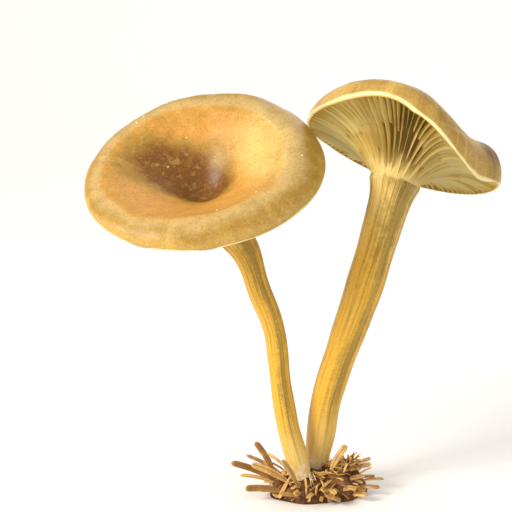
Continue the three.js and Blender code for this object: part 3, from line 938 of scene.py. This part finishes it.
class CLUMP_OT_tuft(bpy.types.Operator):
    """Bind the tuft: a mound of leaf mould with white mycelium, in place of its plain node"""
    bl_idname = "clump.tuft"
    bl_label = "Bind litter tuft"

    def execute(self, context):
        colours = context.scene.clump_colours
        mound = tuft_object(context.scene.clump_sizes)
        mound.data.materials.append(humus_surface(colours, "leaf_mould_crumbly"))
        settle(mound, "humus", "litter_tuft")
        rng = np.random.default_rng(17)
        parts = []
        for foot_x, foot_y, base in STEM_FEET:
            for _ in range(THREADS_PER_FOOT):
                turn, start = rng.uniform(0, TURN), rng.uniform(0, 1)
                near, far = 2.2 + start, rng.uniform(3.8, 7.0)
                turns = turn + np.cumsum(rng.normal(0, 0.03, 12))
                out = np.linspace(near, far, 12)
                fall = base - (out - near) * rng.uniform(0.75, 1.15) - 0.4
                parts.append(thread_surface(np.stack(
                    [foot_x + out * np.cos(turns), foot_y + out * np.sin(turns), np.maximum(fall, 0.6)],
                    axis=-1), rng.uniform(0.06, 0.14)))
        threads = joined_object("mycelium_threads", parts)
        threads.data.materials.append(felt_surface(colours, "mycelium_felt"))
        settle(threads, "humus")
        return {"FINISHED"}


class CLUMP_OT_needles(bpy.types.Operator):
    """Lay the dead fir needles, each in place of its plain node"""
    bl_idname = "clump.needles"
    bl_label = "Lay fir needles"

    def execute(self, context):
        colours = context.scene.clump_colours
        material = needle_skin(colours, "dead_needle_dull_wax")
        rng = np.random.default_rng(3)
        for index, (root, tip, width) in enumerate(NEEDLES, start=1):
            node = f"fir_needle_{index:02d}"
            piece = needle_object(node + "_grown", [needle_surface(root, tip, width, rng)])
            piece.data.materials.append(material)
            settle(piece, "dead_needle", node)

        loose = broken_needles(rng) + rim_needles(rng)
        sprig = sprig_needles(rng)
        for name, surfaces in (("broken_needles", loose), ("needle_sprig", sprig)):
            piece = needle_object(name, surfaces)
            piece.data.materials.append(material)
            settle(piece, "dead_needle")
        return {"FINISHED"}


def settle(piece, slot, *nodes):
    """Puts a piece in the frame, in place of the nodes that it stands for."""
    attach(piece, BODY)
    if nodes:
        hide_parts(*nodes)


class CLUMP_OT_stage(bpy.types.Operator):
    """Set the pale floor, the window light and the camera"""
    bl_idname = "clump.stage"
    bl_label = "Set stage"

    def execute(self, context):
        scene = context.scene
        view, colours = scene.clump_view, scene.clump_colours
        floor_surface = Surface("pale_paper_floor", roughness=0.9)
        floor_surface.shader.inputs["Base Color"].default_value = (*colours.stage, 1)
        # A floor that sweeps up into the backdrop, so that no line crosses behind the object.
        sweep = [(-FLOOR_REACH, 0.0)]
        for step in range(17):
            turn = step / 16 * math.pi / 2
            sweep.append((SWEEP_START + SWEEP_RADIUS * math.sin(turn),
                          SWEEP_RADIUS * (1 - math.cos(turn))))
        sweep.append((SWEEP_START + SWEEP_RADIUS, WALL_HEIGHT))
        points = [(side * FLOOR_HALF_WIDTH / MM, y / MM, z / MM) for y, z in sweep for side in (-1, 1)]
        faces = [(2 * i, 2 * i + 1, 2 * i + 3, 2 * i + 2) for i in range(len(sweep) - 1)]
        floor = new_object("stage_floor", points, faces)
        floor.data.materials.append(floor_surface.material)

        aim = Vector((-view.aim_side, 0, view.aim_height))
        for name, place, width, power, tint in (
                ("window_key", (-0.55, -0.36, 0.40), 0.28, view.key_power, (1.0, 0.965, 0.91)),
                ("room_fill", (0.55, -0.45, 0.30), 0.60, view.key_power * 0.16, (0.97, 0.98, 1.0)),
                ("back_rim", (0.25, 0.55, 0.50), 0.40, view.key_power * 0.22, (1.0, 0.98, 0.95))):
            data = bpy.data.lights.new(name, "AREA")
            data.shape = "SQUARE"
            data.size = width
            data.energy = power
            data.color = tint
            light = bpy.data.objects.new(name, data)
            light.location = place
            light.rotation_euler = (aim - Vector(place)).to_track_quat("-Z", "Y").to_euler()
            scene.collection.objects.link(light)

        world = bpy.data.worlds.new("soft_room")
        world.use_nodes = True
        world.node_tree.nodes["Background"].inputs["Color"].default_value = (1.0, 0.985, 0.96, 1)
        world.node_tree.nodes["Background"].inputs["Strength"].default_value = 0.60
        scene.world = world
        scene.view_settings.view_transform = "Standard"

        data = bpy.data.cameras.new("camera")
        data.lens = view.lens
        data.sensor_width = 36.0
        data.clip_start = 0.01
        camera = bpy.data.objects.new("camera", data)
        away = Vector((0, -math.cos(view.elevation), math.sin(view.elevation)))
        camera.location = aim + view.distance * away
        camera.rotation_euler = (-away).to_track_quat("-Z", "Y").to_euler()
        scene.collection.objects.link(camera)
        scene.camera = camera
        return {"FINISHED"}


class CLUMP_PT_panel(bpy.types.Panel):
    """Steps that build the clump"""
    bl_idname = "CLUMP_PT_panel"
    bl_label = "Funnel mushroom clump"
    bl_space_type = "VIEW_3D"
    bl_region_type = "UI"
    bl_category = "Clump"

    def draw(self, context):
        for operator in STEPS:
            self.layout.operator(operator.bl_idname)
        for group in (context.scene.clump_sizes, context.scene.clump_colours, context.scene.clump_view):
            box = self.layout.box()
            for name in group.__annotations__:
                box.prop(group, name)


STEPS = (CLUMP_OT_bowl, CLUMP_OT_funnel, CLUMP_OT_tuft, CLUMP_OT_needles, CLUMP_OT_stage)
CLASSES = (ClumpSizes, ClumpColours, ClumpView, *STEPS, CLUMP_PT_panel)


def register():
    for cls in CLASSES:
        bpy.utils.register_class(cls)
    bpy.types.Scene.clump_sizes = bpy.props.PointerProperty(type=ClumpSizes)
    bpy.types.Scene.clump_colours = bpy.props.PointerProperty(type=ClumpColours)
    bpy.types.Scene.clump_view = bpy.props.PointerProperty(type=ClumpView)


def unregister():
    for name in ("clump_sizes", "clump_colours", "clump_view"):
        delattr(bpy.types.Scene, name)
    for cls in reversed(CLASSES):
        bpy.utils.unregister_class(cls)


def main():
    register()
    for operator in STEPS:
        group, name = operator.bl_idname.split(".")
        getattr(getattr(bpy.ops, group), name)()


if __name__ == "__main__":
    main()
